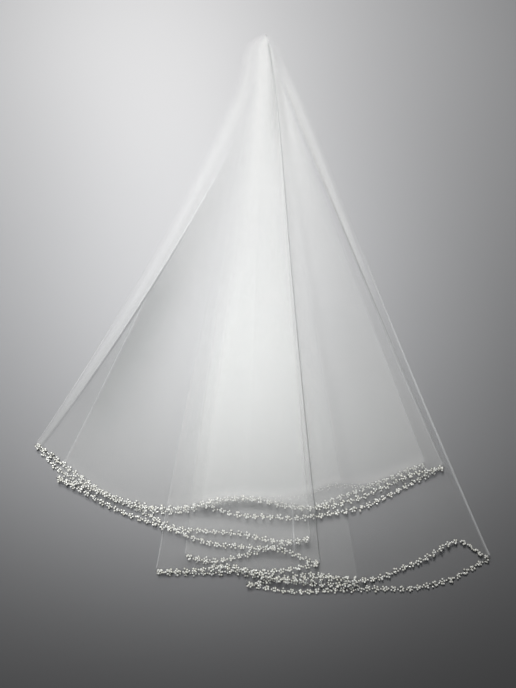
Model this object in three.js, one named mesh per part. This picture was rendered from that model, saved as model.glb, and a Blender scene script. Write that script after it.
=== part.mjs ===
// A bridal veil of sheer tulle with a beaded edge, folded fan-wise about its peak and laid flat.
// Millimetres, +Z up, +Y towards the peak, the origin under the middle of the folded veil.
import * as THREE from 'three';

// The cloth and the air round it.
const WALL = 1;
const GAP = 0.3;
const LAYER_RISE = 1.4;
const DRAPE_FALL = 45;

// The turned edge of a fold, full size from this far below the peak.
const NOSE_REACH = 1.1;
const NOSE_CORNER = 0.65;
const NOSE_FULL_AT = 200;

// The edging of bead florets, a scalloped band outside the cut edge.
const BEAD_WIDTH = 9;
const BEAD_NECK_WIDTH = 5;
const BEAD_HEIGHT = 2.2;
const BEAD_NECK_HEIGHT = 1.4;
const BEAD_RISE = 2.6;
const BEAD_FALL = 30;
const BEAD_PITCH = 11;

// The net of radii and angles that all stretches share.
const PEAK_REACH = 70;
const UPPER_RINGS = [PEAK_REACH, 140, 250, 380, 510, 620, 680];
const HEM_RINGS = { from: 700, to: 862, step: 18 };
const STRIP_ANGLE = 2.6;

// Folds: degrees about the peak, from straight down towards the right, and the edging's distance from the peak.
const FOLDS = {
  L1: { angle: -24.6, edge: 722 },
  L2: { angle: -21.1, edge: 748 },
  L3: { angle: -9.6, edge: 820 },
  L4: { angle: -7.3, edge: 798 },
  L5: { angle: -6.4, edge: 735 },
  L6: { angle: -1.8, edge: 824 },
  R1: { angle: 3.9, edge: 774 },
  R2: { angle: 4.6, edge: 802 },
  R3: { angle: 7.7, edge: 830 },
  R4: { angle: 16.7, edge: 711 },
  R5: { angle: 18.4, edge: 722 },
  R6: { angle: 19.0, edge: 840 },
};

// Stretches from the table upwards: the folds at both ends, and the edging's distance from the peak at even
// shares between them. The cloth runs through the rows in this order, and from the last back to the first.
const STRETCHES = [
  { name: '01', left: 'L6', right: 'R6', between: [832, 834, 838, 847, 848] },
  { name: '02', left: 'L6', right: 'R3', between: [822, 816, 818] },
  { name: '03', left: 'L4', right: 'R3', between: [800, 809, 820, 826] },
  { name: '04', left: 'L4', right: 'R1', between: [799, 789, 779] },
  { name: '05', left: 'L1', right: 'R1', between: [738, 743, 748, 756, 767, 766, 766, 774] },
  { name: '06', left: 'L1', right: 'R4', between: [729, 736, 744, 747, 743, 729, 723, 728, 736, 728, 721, 714] },
  { name: '07', left: 'L5', right: 'R4', between: [727, 720, 714, 713, 719, 715] },
  { name: '08', left: 'L5', right: 'R5', between: [743, 745, 747, 746, 744, 736, 727] },
  { name: '09', left: 'L2', right: 'R5', between: [745, 748, 748, 741, 727, 724, 733, 737, 733, 725, 718] },
  { name: '10', left: 'L2', right: 'R2', between: [752, 760, 765, 771, 780, 781, 784] },
  { name: '11', left: 'L3', right: 'R2', between: [816, 809, 808] },
  { name: '12', left: 'L3', right: 'R6', between: [813, 805, 813, 819, 822, 828, 820, 808] },
];

// The rounded peak: distance from its tip, and its share of the height of the layers that it joins.
const PEAK_SECTIONS = [
  { reach: 3, share: 0.14 },
  { reach: 10, share: 0.3 },
  { reach: 26, share: 0.58 },
  { reach: 48, share: 0.84 },
  { reach: PEAK_REACH - GAP, share: 1 },
];

const TULLE_FINISH = { color: 0xf1f2ee, roughness: 0.85, metalness: 0 };
const BEAD_FINISH = { color: 0xf3efe6, roughness: 0.3, metalness: 0 };

// Angles and radii of the shared net

function listAngles() {
  const folds = Object.values(FOLDS).map((fold) => fold.angle);
  folds.sort((a, b) => a - b);
  const angles = [folds[0]];
  for (let n = 1; n < folds.length; n += 1) {
    const span = folds[n] - folds[n - 1];
    const parts = Math.ceil(span / STRIP_ANGLE);
    for (let part = 1; part <= parts; part += 1) {
      angles.push(folds[n - 1] + (span * part) / parts);
    }
  }
  return angles;
}

function listRings() {
  const rings = [...UPPER_RINGS];
  for (let ring = HEM_RINGS.from; ring <= HEM_RINGS.to; ring += HEM_RINGS.step) {
    rings.push(ring);
  }
  return rings;
}

const ANGLES = listAngles();
const RINGS = listRings();

// A direction on the table from the peak, and a place along it.
function direction(angle) {
  const turn = THREE.MathUtils.degToRad(angle);
  return new THREE.Vector3(Math.sin(turn), -Math.cos(turn), 0);
}

function place(angle, radius, height) {
  return direction(angle).multiplyScalar(radius).setZ(height);
}

function lineAt(angle) {
  let nearest = 0;
  ANGLES.forEach((value, line) => {
    if (Math.abs(value - angle) < Math.abs(ANGLES[nearest] - angle)) {
      nearest = line;
    }
  });
  return nearest;
}

// The run of the edging along each stretch

function layOutStretch(row) {
  const left = FOLDS[row.left];
  const right = FOLDS[row.right];
  const radii = [left.edge, ...row.between, right.edge];
  const curve = new THREE.SplineCurve(radii.map((radius, n) => new THREE.Vector2(n, radius)));
  const edgeAt = (angle) => {
    const share = (angle - left.angle) / (right.angle - left.angle);
    return curve.getPoint(THREE.MathUtils.clamp(share, 0, 1)).y;
  };
  return {
    name: row.name,
    left: left.angle,
    right: right.angle,
    firstLine: lineAt(left.angle),
    lastLine: lineAt(right.angle),
    edgeAt,
    hemAt: (angle) => edgeAt(angle) - BEAD_WIDTH / 2 - GAP,
  };
}

// How high the layers lie

function settle(distance, fall) {
  return 1 - THREE.MathUtils.smoothstep(distance, 0, fall);
}

// The rise that a stretch gives to the layers on it, flat a full net cell past its outline.
function riseOf(stretch, angle, radius) {
  const beside = Math.max(0, stretch.left - angle, angle - stretch.right);
  const sideways = THREE.MathUtils.degToRad(Math.max(0, beside - STRIP_ANGLE)) * radius;
  const nearby = [angle - STRIP_ANGLE, angle, angle + STRIP_ANGLE].map(stretch.edgeAt);
  const margin = BEAD_WIDTH / 2 + HEM_RINGS.step;
  const beyond = Math.max(0, radius - Math.max(...nearby) - margin);
  const short = Math.max(0, Math.min(...nearby) - margin - radius);
  const cloth = LAYER_RISE * settle(Math.hypot(sideways, beyond), DRAPE_FALL);
  const beads = BEAD_RISE * settle(Math.hypot(sideways, beyond + short), BEAD_FALL);
  return Math.max(cloth, beads);
}

// Lays the stretches on each other from the table upwards.
function stackStretches(rows) {
  const heights = ANGLES.map(() => RINGS.map(() => 0));
  return rows.map((row) => {
    const stretch = layOutStretch(row);
    stretch.heights = heights.map((column) => [...column]);
    ANGLES.forEach((angle, line) => {
      RINGS.forEach((radius, ring) => {
        heights[line][ring] += riseOf(stretch, angle, radius);
      });
    });
    return stretch;
  });
}

// The height under a stretch at any angle and radius, read on the same triangles as its cloth.
function heightUnder(stretch, angle, radius) {
  const inside = THREE.MathUtils.clamp(angle, ANGLES[0], ANGLES[ANGLES.length - 1]);
  const line = Math.max(0, ANGLES.findIndex((value) => value >= inside) - 1);
  const ring = Math.max(0, RINGS.findIndex((value) => value >= radius) - 1);
  const across = (inside - ANGLES[line]) / (ANGLES[line + 1] - ANGLES[line]);
  const down = (radius - RINGS[ring]) / (RINGS[ring + 1] - RINGS[ring]);
  const near = stretch.heights[line][ring];
  const far = stretch.heights[line + 1][ring + 1];
  if (across > down) {
    const turn = stretch.heights[line + 1][ring];
    return near + (turn - near) * across + (far - turn) * down;
  }
  const turn = stretch.heights[line][ring + 1];
  return near + (turn - near) * down + (far - turn) * across;
}

// Closed solids from points and triangles

class Solid {
  constructor() {
    this.points = [];
    this.faces = [];
    this.known = new Map();
  }

  point(position) {
    const key = position.toArray().map((value) => value.toFixed(4)).join(' ');
    if (!this.known.has(key)) {
      this.known.set(key, this.points.length);
      this.points.push(position.clone());
    }
    return this.known.get(key);
  }

  face(a, b, c) {
    if (a !== b && b !== c && c !== a) {
      this.faces.push([a, b, c]);
    }
  }

  fan(loop) {
    for (let n = 1; n + 1 < loop.length; n += 1) {
      this.face(loop[0], loop[n], loop[n + 1]);
    }
  }

  strip(from, to) {
    for (let n = 0; n + 1 < from.length; n += 1) {
      this.face(from[n], to[n], to[n + 1]);
      this.face(from[n], to[n + 1], from[n + 1]);
    }
  }

  geometry() {
    const geometry = new THREE.BufferGeometry();
    const positions = this.points.flatMap((position) => position.toArray());
    geometry.setAttribute('position', new THREE.Float32BufferAttribute(positions, 3));
    geometry.setIndex(this.faces.flat());
    geometry.computeVertexNormals();
    return geometry;
  }
}

// The tulle of one stretch

// Keeps the part of a triangle that lies above the cut edge.
function clipAtHem(corners, hem) {
  const kept = [];
  corners.forEach((corner, n) => {
    const next = corners[(n + 1) % corners.length];
    const over = corner.radius - hem(corner.across);
    const nextOver = next.radius - hem(next.across);
    if (over <= 0) {
      kept.push(corner);
    }
    if (over * nextOver < 0) {
      const share = over / (over - nextOver);
      kept.push({
        across: THREE.MathUtils.lerp(corner.across, next.across, share),
        radius: THREE.MathUtils.lerp(corner.radius, next.radius, share),
        position: corner.position.clone().lerp(next.position, share),
      });
    }
  });
  return kept;
}

// The upper faces of a stretch, cut at its hem, with each side moved along by its shift.
function coverTop(solid, stretch, shifts) {
  const shiftAt = new Map([[stretch.firstLine, shifts.left], [stretch.lastLine, shifts.right]]);
  const corner = (line, ring, across) => {
    const radius = RINGS[ring];
    const angle = ANGLES[line] + THREE.MathUtils.radToDeg((shiftAt.get(line) ?? 0) / radius);
    return { across, radius, position: place(angle, radius, stretch.heights[line][ring] + WALL) };
  };
  for (let line = stretch.firstLine; line < stretch.lastLine; line += 1) {
    const start = stretch.hemAt(ANGLES[line]);
    const end = stretch.hemAt(ANGLES[line + 1]);
    const hem = (across) => THREE.MathUtils.lerp(start, end, across);
    for (let ring = 0; ring + 1 < RINGS.length; ring += 1) {
      const near = corner(line, ring, 0);
      const far = corner(line + 1, ring + 1, 1);
      const halves = [
        [near, corner(line, ring + 1, 0), far],
        [near, far, corner(line + 1, ring, 1)],
      ];
      halves.forEach((half) => {
        solid.fan(clipAtHem(half, hem).map((kept) => solid.point(kept.position)));
      });
    }
  }
}

function listRim(faces) {
  const sides = new Set(faces.flatMap(([a, b, c]) => [`${a} ${b}`, `${b} ${c}`, `${c} ${a}`]));
  const rim = [];
  sides.forEach((side) => {
    const [from, to] = side.split(' ').map(Number);
    if (!sides.has(`${to} ${from}`)) {
      rim.push({ from, to });
    }
  });
  return rim;
}

// The turned edge of a fold at one point of its line, from the lower layer up to the upper one.
function foldNose(solid, stretch, upper, angle, top) {
  const side = angle < (stretch.left + stretch.right) / 2 ? -1 : 1;
  const radius = Math.hypot(top.x, top.y);
  const low = top.z - WALL;
  const high = heightUnder(upper, angle, radius) + WALL;
  const reach = NOSE_REACH * Math.min(1, radius / NOSE_FULL_AT);
  const out = (share, height) => {
    const turn = THREE.MathUtils.radToDeg((side * reach * share) / radius);
    return solid.point(place(angle + turn, radius, height));
  };
  return [
    out(NOSE_CORNER, low),
    out(1, (low + high) / 2),
    out(NOSE_CORNER, high),
    solid.point(top.clone().setZ(high)),
  ];
}

// One stretch of tulle. A turn names a fold whose edge belongs to this stretch and the layer that it meets.
function makeTulle(stretch, turns) {
  const solid = new Solid();
  const owns = (angle) => turns.some((turn) => turn.angle === angle);
  coverTop(solid, stretch, {
    left: owns(stretch.left) ? 0 : GAP,
    right: owns(stretch.right) ? 0 : -GAP,
  });
  const top = [...solid.faces];
  const tops = [...solid.points];
  const under = tops.map((position) => solid.point(position.clone().setZ(position.z - WALL)));
  top.forEach(([a, b, c]) => solid.face(under[a], under[c], under[b]));

  const onFold = (index, turn) => {
    const { x, y } = tops[index];
    return Math.abs(THREE.MathUtils.radToDeg(Math.atan2(x, -y)) - turn.angle) < 1e-4;
  };
  const profiles = new Map();
  const profile = (index, turn) => {
    const key = `${index} ${turn.angle}`;
    if (!profiles.has(key)) {
      const nose = foldNose(solid, stretch, turn.upper, turn.angle, tops[index]);
      profiles.set(key, [under[index], ...nose, index]);
    }
    return profiles.get(key);
  };
  const rim = listRim(top);
  rim.forEach(({ from, to }) => {
    const turn = turns.find((each) => onFold(from, each) && onFold(to, each));
    if (!turn) {
      solid.strip([under[from], from], [under[to], to]);
      return;
    }
    solid.strip(profile(from, turn), profile(to, turn));
  });
  turns.forEach((turn) => closeNoseEnds(solid, rim, turn, onFold, profile));
  return solid.geometry();
}

// Closes both ends of a fold's turned edge, at the peak and at the hem.
function closeNoseEnds(solid, rim, turn, onFold, profile) {
  const along = rim.filter(({ from, to }) => onFold(from, turn) && onFold(to, turn));
  const starts = along.filter(({ from }) => !along.some(({ to }) => to === from));
  const ends = along.filter(({ to }) => !along.some(({ from }) => from === to));
  const section = (index) => {
    const [low, outLow, out, outHigh, high, top] = profile(index, turn);
    return [out, outHigh, high, top, low, outLow];
  };
  starts.forEach(({ from }) => solid.fan(section(from)));
  ends.forEach(({ to }) => solid.fan(section(to).reverse()));
}

// The edging of one stretch

// A point of the stretch's cut edge, on the straight run between two lines of the net.
function hemPoint(stretch, angle) {
  const line = Math.max(0, ANGLES.findIndex((value) => value >= angle) - 1);
  const across = (angle - ANGLES[line]) / (ANGLES[line + 1] - ANGLES[line]);
  const start = place(ANGLES[line], stretch.hemAt(ANGLES[line]), 0);
  const end = place(ANGLES[line + 1], stretch.hemAt(ANGLES[line + 1]), 0);
  return start.lerp(end, across);
}

function makeEdging(stretch) {
  const solid = new Solid();
  const meanEdge = stretch.edgeAt((stretch.left + stretch.right) / 2);
  const span = THREE.MathUtils.degToRad(stretch.right - stretch.left) * meanEdge;
  const florets = Math.round(span / BEAD_PITCH);
  const sections = [];
  for (let n = 0; n <= florets * 2; n += 1) {
    const angle = THREE.MathUtils.lerp(stretch.left, stretch.right, n / (florets * 2));
    const isFloret = n % 2 === 1;
    const width = isFloret ? BEAD_WIDTH : BEAD_NECK_WIDTH;
    const tall = isFloret ? BEAD_HEIGHT : BEAD_NECK_HEIGHT;
    const hem = hemPoint(stretch, angle);
    const out = hem.clone().normalize();
    const from = hem.length() + GAP + (BEAD_WIDTH - width) / 2;
    const spot = (offset, lift) => {
      const radius = from + offset;
      return solid.point(out.clone().multiplyScalar(radius).setZ(heightUnder(stretch, angle, radius) + lift));
    };
    sections.push([spot(0, 0), spot(width, 0), spot(width / 2, tall), spot(0, 0)]);
  }
  for (let n = 0; n + 1 < sections.length; n += 1) {
    solid.strip(sections[n], sections[n + 1]);
  }
  solid.fan(sections[0].slice(0, 3));
  solid.fan(sections[sections.length - 1].slice(0, 3).reverse());
  return solid.geometry();
}

// The peak

// The top of the whole stack where the stretches meet the peak.
function stackTop(stretches, line) {
  const tops = stretches
    .filter((stretch) => stretch.firstLine <= line && line <= stretch.lastLine)
    .map((stretch) => stretch.heights[line][0] + WALL);
  return Math.max(...tops);
}

function makePeak(stretches) {
  const solid = new Solid();
  const rows = PEAK_SECTIONS.map(({ reach, share }) => ({
    tops: ANGLES.map((angle, line) => solid.point(place(angle, reach, stackTop(stretches, line) * share))),
    lows: ANGLES.map((angle) => solid.point(place(angle, reach, 0))),
  }));
  const tip = rows.at(0);
  const mouth = rows.at(-1);
  for (let n = 0; n + 1 < rows.length; n += 1) {
    const [near, far] = [rows[n], rows[n + 1]];
    solid.strip(near.tops, far.tops);
    solid.strip(far.lows, near.lows);
    solid.strip([near.lows.at(0), near.tops.at(0)], [far.lows.at(0), far.tops.at(0)]);
    solid.strip([far.lows.at(-1), far.tops.at(-1)], [near.lows.at(-1), near.tops.at(-1)]);
  }
  for (let line = 0; line + 1 < ANGLES.length; line += 1) {
    const next = line + 1;
    solid.strip([mouth.lows[line], mouth.tops[line]], [mouth.lows[next], mouth.tops[next]]);
    solid.strip([tip.lows[next], tip.tops[next]], [tip.lows[line], tip.tops[line]]);
  }
  return solid.geometry();
}

// The folded veil

// A fold's turned edge belongs to the lower of its two layers. The last fold wraps round the whole stack.
function turnsOf(stretches, index) {
  const stretch = stretches[index];
  const turns = [];
  if (index + 1 < stretches.length) {
    const upper = stretches[index + 1];
    turns.push({ angle: stretch.left === upper.left ? stretch.left : stretch.right, upper });
  }
  if (index === 0) {
    const upper = stretches[stretches.length - 1];
    turns.push({ angle: stretch.right, upper });
  }
  return turns;
}

function addPiece(group, name, geometry, finish) {
  const mesh = new THREE.Mesh(geometry, new THREE.MeshStandardMaterial(finish));
  mesh.name = name;
  group.add(mesh);
}

function makeVeil() {
  const veil = new THREE.Group();
  const stretches = stackStretches(STRETCHES);
  addPiece(veil, 'peak', makePeak(stretches), TULLE_FINISH);
  stretches.forEach((stretch, index) => {
    addPiece(veil, `tulle_${stretch.name}`, makeTulle(stretch, turnsOf(stretches, index)), TULLE_FINISH);
    addPiece(veil, `beads_${stretch.name}`, makeEdging(stretch), BEAD_FINISH);
  });
  const middle = new THREE.Box3().setFromObject(veil).getCenter(new THREE.Vector3());
  veil.position.set(-middle.x, -middle.y, 0);
  return veil;
}

export default makeVeil();
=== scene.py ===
"""A sheer bridal veil with a pearl edge, folded fan-wise about its peak and laid flat."""

import logging
import math
from dataclasses import dataclass, field
from enum import Enum

import bpy
import numpy as np
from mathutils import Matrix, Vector


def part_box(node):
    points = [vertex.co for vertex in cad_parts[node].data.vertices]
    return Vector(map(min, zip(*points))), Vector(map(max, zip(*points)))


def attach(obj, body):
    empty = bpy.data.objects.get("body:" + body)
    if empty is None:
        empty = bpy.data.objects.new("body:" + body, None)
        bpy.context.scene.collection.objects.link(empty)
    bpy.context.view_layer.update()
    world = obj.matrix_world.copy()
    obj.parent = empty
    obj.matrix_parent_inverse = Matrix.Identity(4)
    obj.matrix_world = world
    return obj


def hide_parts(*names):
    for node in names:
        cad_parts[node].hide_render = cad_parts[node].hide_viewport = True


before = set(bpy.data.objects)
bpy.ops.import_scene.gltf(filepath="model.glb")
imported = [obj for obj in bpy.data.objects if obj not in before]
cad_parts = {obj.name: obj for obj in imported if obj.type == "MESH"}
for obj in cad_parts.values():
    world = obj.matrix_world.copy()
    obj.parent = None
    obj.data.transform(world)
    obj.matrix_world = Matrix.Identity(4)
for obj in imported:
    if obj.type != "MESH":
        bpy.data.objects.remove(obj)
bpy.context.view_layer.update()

LOG = logging.getLogger("veil")
BODY = "root"
SEED = 12


class Slot(Enum):
    """Names for the material slots of the tulle and the pearls."""

    TULLE = "tulle"
    PEARL = "pearl"


class Side(Enum):
    """The side of a stretch that a fold lies on, as the sign of its outward direction."""

    LEFT = -1
    RIGHT = 1


# Shader expressions


class Value:
    """A number socket in a node tree, with arithmetic that adds Math nodes."""

    def __init__(self, nodes: "Nodes", socket: bpy.types.NodeSocket) -> None:
        """Wraps an output socket that carries a number, in the tree that new nodes go to."""
        self.nodes = nodes
        self.socket = socket

    def math(self, operation: str, *others: "Value | float") -> "Value":
        """Adds one Math node on this value and any further operands."""
        node = self.nodes.add("ShaderNodeMath", {"operation": operation}, dict(enumerate((self, *others))))
        return Value(self.nodes, node.outputs[0])

    def __add__(self, other: "Value | float") -> "Value":
        """Sum."""
        return self.math("ADD", other)

    __radd__ = __add__

    def __mul__(self, other: "Value | float") -> "Value":
        """Product."""
        return self.math("MULTIPLY", other)

    __rmul__ = __mul__

    def __sub__(self, other: "Value | float") -> "Value":
        """Difference."""
        return self.math("SUBTRACT", other)

    def __rsub__(self, other: float) -> "Value":
        """Difference from a plain number."""
        return self * -1.0 + other

    def cosine(self) -> "Value":
        """Cosine of an angle in radians."""
        return self.math("COSINE")

    def step_between(self, low: float, high: float) -> "Value":
        """Smooth step over the value.

        Args:
            low: the value where the step is 0.
            high: the value where it is 1.

        Returns:
            The step.
        """
        sockets = {"Value": self, "From Min": low, "From Max": high}
        node = self.nodes.add("ShaderNodeMapRange", {"interpolation_type": "SMOOTHSTEP"}, sockets)
        return Value(self.nodes, node.outputs["Result"])


class Nodes:
    """A material's node tree, with one method that makes any node."""

    def __init__(self, name: str) -> None:
        """Makes an empty material.

        Args:
            name: the material's name.
        """
        self.material = bpy.data.materials.new(name)
        self.material.use_nodes = True
        self.tree = self.material.node_tree
        self.tree.nodes.clear()

    def add(self, kind: str, settings: dict | None = None, sockets: dict | None = None) -> bpy.types.Node:
        """Adds a node.

        Args:
            kind: the node's type.
            settings: its properties, set first.
            sockets: values or links of its inputs, by name or number.

        Returns:
            The new node.
        """
        node = self.tree.nodes.new(kind)
        for key, value in (settings or {}).items():
            setattr(node, key, value)
        for key, value in (sockets or {}).items():
            source = value.socket if isinstance(value, Value) else value
            if isinstance(source, bpy.types.NodeSocket):
                self.tree.links.new(source, node.inputs[key])
            else:
                node.inputs[key].default_value = source
        return node

    def attribute(self, name: str) -> Value:
        """The number that the mesh stores under a name."""
        node = self.add("ShaderNodeAttribute", {"attribute_name": name})
        return Value(self, node.outputs["Fac"])

    def mix(self, factor: Value, first: tuple | bpy.types.NodeSocket, second: tuple) -> bpy.types.NodeSocket:
        """Blends two linear colours, from the first at factor 0 to the second at 1."""
        node = self.add("ShaderNodeMix", {"data_type": "RGBA"}, {"Factor": factor, 6: first, 7: second})
        return node.outputs[2]

    def surface(self, sockets: dict) -> bpy.types.Material:
        """Closes the tree with a Principled shader.

        Args:
            sockets: the shader's values and links.

        Returns:
            The finished material.
        """
        shader = self.add("ShaderNodeBsdfPrincipled", None, sockets)
        self.add("ShaderNodeOutputMaterial", None, {"Surface": shader.outputs["BSDF"]})
        return self.material


# Finishes


@dataclass(frozen=True)
class TulleFinish:
    """Sheer net with hexagonal holes, denser along its fold lines with a painted highlight or a painted
    shadow, and with painted shade beside some of its lines.
    """

    colour: tuple = (0.68, 0.692, 0.688, 1.0)
    # Fold lines are painted paler as a highlight, or darker as a shadow; painted shade uses the dark colour
    # too.
    painted_highlight_colour: tuple = (0.86, 0.88, 0.90, 1.0)
    painted_shadow_colour: tuple = (0.16, 0.17, 0.17, 1.0)
    mesh_pitch: float = 0.0016
    cover: float = 0.112
    hole_edge: tuple = (-0.9, 1.1)
    net_depth: float = 0.055
    thread_share: float = 0.6
    line_cover: float = 0.40
    painted_shadow_cover: float = 0.55
    painted_shade_cover: float = 0.10
    painted_shade_share: float = 0.80
    roughness: float = 0.75
    sheen: float = 0.25

    def material(self) -> bpy.types.Material:
        """Builds the material.

        Returns:
            The sheer net, which reads the cloth's own map and its attributes.
        """
        nodes = Nodes("sheer_tulle")
        cut = nodes.add("ShaderNodeTexCoord")
        turn = 2 * math.pi / self.mesh_pitch
        wave = None
        for angle in (0.0, 2 * math.pi / 3, 4 * math.pi / 3):
            across = (turn * math.cos(angle), turn * math.sin(angle), 0.0)
            sockets = {0: cut.outputs["UV"], 1: across}
            row = nodes.add("ShaderNodeVectorMath", {"operation": "DOT_PRODUCT"}, sockets)
            crest = Value(nodes, row.outputs["Value"]).cosine()
            wave = crest if wave is None else wave + crest
        threads = 1 - wave.step_between(*self.hole_edge)
        net = (threads - self.thread_share) * self.net_depth
        pale, dark, shade = nodes.attribute("pale"), nodes.attribute("dark"), nodes.attribute("shade")
        cloth = (nodes.attribute("layers") * self.cover + net).math("MAXIMUM", 0.0)
        # Pale lines add density and a painted highlight colour, dark lines a painted shadow, shade a painted
        # shade.
        cover = cloth + pale * self.line_cover + dark * self.painted_shadow_cover + shade * self.painted_shade_cover
        lined = nodes.mix(pale, self.colour, self.painted_highlight_colour)
        return nodes.surface({
            "Base Color": nodes.mix(dark + shade * self.painted_shade_share, lined, self.painted_shadow_colour),
            "Roughness": self.roughness,
            "Sheen Weight": self.sheen,
            "Alpha": cover.math("MINIMUM", 1.0),
        })


@dataclass(frozen=True)
class PearlFinish:
    """Small white pearls with a soft lustre, some a little warmer, with painted shade on the lower part of
    each.
    """

    cool: tuple = (0.90, 0.915, 0.90, 1.0)
    warm: tuple = (0.74, 0.735, 0.66, 1.0)
    underside_shade: tuple = (0.085, 0.088, 0.072, 1.0)
    cloud_scale: float = 900.0
    cloud_detail: float = 2.0
    blush_rise: tuple = (0.35, 0.75)
    blush_share: float = 0.25
    blush_roughness: float = 0.12
    roughness: float = 0.14
    coat: float = 0.9
    coat_roughness: float = 0.1

    def material(self) -> bpy.types.Material:
        """Builds the material.

        Returns:
            The pearl, which reads each bead's tone and how much painted shade each part of it gets.
        """
        nodes = Nodes("pearl_lustre")
        tone = nodes.attribute("tone")
        place = nodes.add("ShaderNodeTexCoord").outputs["Object"]
        sockets = {"Vector": place, "Scale": self.cloud_scale, "Detail": self.cloud_detail}
        cloud = nodes.add("ShaderNodeTexNoise", None, sockets)
        blush = Value(nodes, cloud.outputs["Fac"]).step_between(*self.blush_rise)
        warmth = tone * (1 - self.blush_share) + blush * self.blush_share
        pearl = nodes.mix(warmth, self.cool, self.warm)
        return nodes.surface({
            # Painted shade: the lower part of each bead is coloured darker.
            "Base Color": nodes.mix(nodes.attribute("underside_shade"), pearl, self.underside_shade),
            "Roughness": blush * self.blush_roughness + self.roughness,
            "Coat Weight": self.coat,
            "Coat Roughness": self.coat_roughness,
        })


@dataclass(frozen=True)
class FloorFinish:
    """Plain paper with painted shade that makes it a little darker towards the near side."""

    colour: tuple = (0.243, 0.247, 0.256, 1.0)
    shade: tuple = (0.231, 0.235, 0.244, 1.0)
    cloud_scale: float = 3.0
    cloud_detail: float = 3.0
    # Painted shade towards the near side: the share of the colour left there, and where it starts and ends.
    near_shade_share: float = 0.54
    near_from: float = -0.22
    near_to: float = -0.62
    roughness: float = 0.55

    def material(self) -> bpy.types.Material:
        """Builds the material.

        Returns:
            The paper, faintly clouded, with painted shade towards the near side.
        """
        nodes = Nodes("pale_paper")
        place = nodes.add("ShaderNodeTexCoord").outputs["Object"]
        sockets = {"Vector": place, "Scale": self.cloud_scale, "Detail": self.cloud_detail}
        cloud = nodes.add("ShaderNodeTexNoise", None, sockets)
        paper = nodes.mix(Value(nodes, cloud.outputs["Fac"]), self.colour, self.shade)
        along = Value(nodes, nodes.add("ShaderNodeSeparateXYZ", None, {0: place}).outputs["Y"])
        # Painted shade: the colour darkens towards the near side.
        near = 1 - along.step_between(self.near_to, self.near_from)
        near_shade_colour = tuple(self.near_shade_share * part for part in self.colour[:3]) + (1.0,)
        return nodes.surface({
            "Base Color": nodes.mix(near, paper, near_shade_colour),
            "Roughness": self.roughness,
        })


# The way the cloth is folded

# Shares of a line's length: where its crown bends most, and the least at which its angle is worked out.
CROWN_SHARE = 0.2
LEAST_SHARE = 0.02


def smooth_step(value: np.ndarray, low: float, high: float) -> np.ndarray:
    """Smooth step from 0 at low to 1 at high."""
    way = np.clip((value - low) / (high - low), 0, 1)
    return way * way * (3 - 2 * way)


@dataclass(frozen=True)
class Fold:
    """A fold or crease line from the peak to the edge.

    Angle in degrees about the peak, from straight down towards the right. In metres, edge is the edging's
    distance from the peak, bow how far the line bends to the right half-way, and crown the same near the
    peak. Pale says how strongly the line shows as denser cloth with a painted highlight, dark how strongly
    as a painted shadow, and reach how many metres wide it is to each side, as pairs of a share of its
    length and a value.
    """

    angle: float
    edge: float
    bow: float = 0.0
    crown: float = 0.0
    pale: tuple = ((0.0, 0.0),)
    dark: tuple = ((0.0, 0.0),)
    reach: tuple = ((0.0, 0.0014),)

    def angle_at(self, radius: np.ndarray | float) -> np.ndarray:
        """The line's angle along its length.

        Args:
            radius: distances from the peak.

        Returns:
            Angles in degrees.
        """
        share = np.clip(radius / self.edge, LEAST_SHARE, 1)
        aside = self.bow * 4 * share * (1 - share)
        aside = aside + self.crown * share / CROWN_SHARE * np.exp(1 - share / CROWN_SHARE)
        return self.angle + np.degrees(aside / (share * self.edge))

    def shows_at(self, radius: np.ndarray) -> list[np.ndarray]:
        """How strongly the line shows pale (a painted highlight on denser cloth) and dark (a painted
        shadow), and how wide, at distances from the peak.
        """
        return [np.interp(radius / self.edge, *zip(*pairs)) for pairs in (self.pale, self.dark, self.reach)]


@dataclass(frozen=True)
class Stretch:
    """One flat stretch of cloth between two folds, with at most one crease.

    Between lists the edging's distance from the peak at even shares from the left fold to the right. Layers
    is the stretch's own thickness in layers of net, hidden the number of short hidden layers that it stands
    for, and beads the share of full size that its beads have.
    """

    name: str
    left: Fold
    right: Fold
    between: tuple
    crease: Fold | None = None
    layers: float = 1.0
    hidden: float = 0.0
    beads: float = 1.0

    def edge_at(self, share: np.ndarray) -> np.ndarray:
        """The edging's distance from the peak, on a smooth curve.

        Args:
            share: shares of the way from the left fold to the right.

        Returns:
            Distances in metres.
        """
        knots = np.array((self.left.edge, *self.between, self.right.edge))
        place = np.clip(share, 0, 1) * (len(knots) - 1)
        start = np.minimum(place.astype(int), len(knots) - 2)
        way = place - start
        before = knots[np.maximum(start - 1, 0)]
        after = knots[np.minimum(start + 2, len(knots) - 1)]
        near, far = knots[start], knots[start + 1]
        bend = 2 * before - 5 * near + 4 * far - after
        twist = 3 * (near - far) + after - before
        return near + 0.5 * way * (far - before + way * (bend + way * twist))

    def lines(self) -> list[tuple[float, Fold]]:
        """Its folds and its crease, from left to right.

        Returns:
            Pairs of a share of the way across and the line there.
        """
        if self.crease is None:
            return [(0.0, self.left), (1.0, self.right)]
        share = (self.crease.angle - self.left.angle) / (self.right.angle - self.left.angle)
        return [(0.0, self.left), (share, self.crease), (1.0, self.right)]

    def angle_at(self, share: np.ndarray, radius: np.ndarray) -> np.ndarray:
        """The angle about the peak at places on the stretch.

        Args:
            share: shares of the way across.
            radius: distances from the peak.

        Returns:
            Angles in degrees.
        """
        lines = self.lines()
        angle = lines[0][1].angle_at(radius) + 0 * share
        for (start, left), (end, right) in zip(lines, lines[1:]):
            way = np.clip((share - start) / (end - start), 0, 1)
            angle = angle + way * (right.angle_at(radius) - left.angle_at(radius))
        return angle

    def share_at(self, angle: np.ndarray, radius: np.ndarray) -> np.ndarray:
        """The share of the way across between the folds, under 0 or over 1 beside the stretch."""
        left = self.left.angle_at(radius)
        return (angle - left) / (self.right.angle_at(radius) - left)
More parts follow.
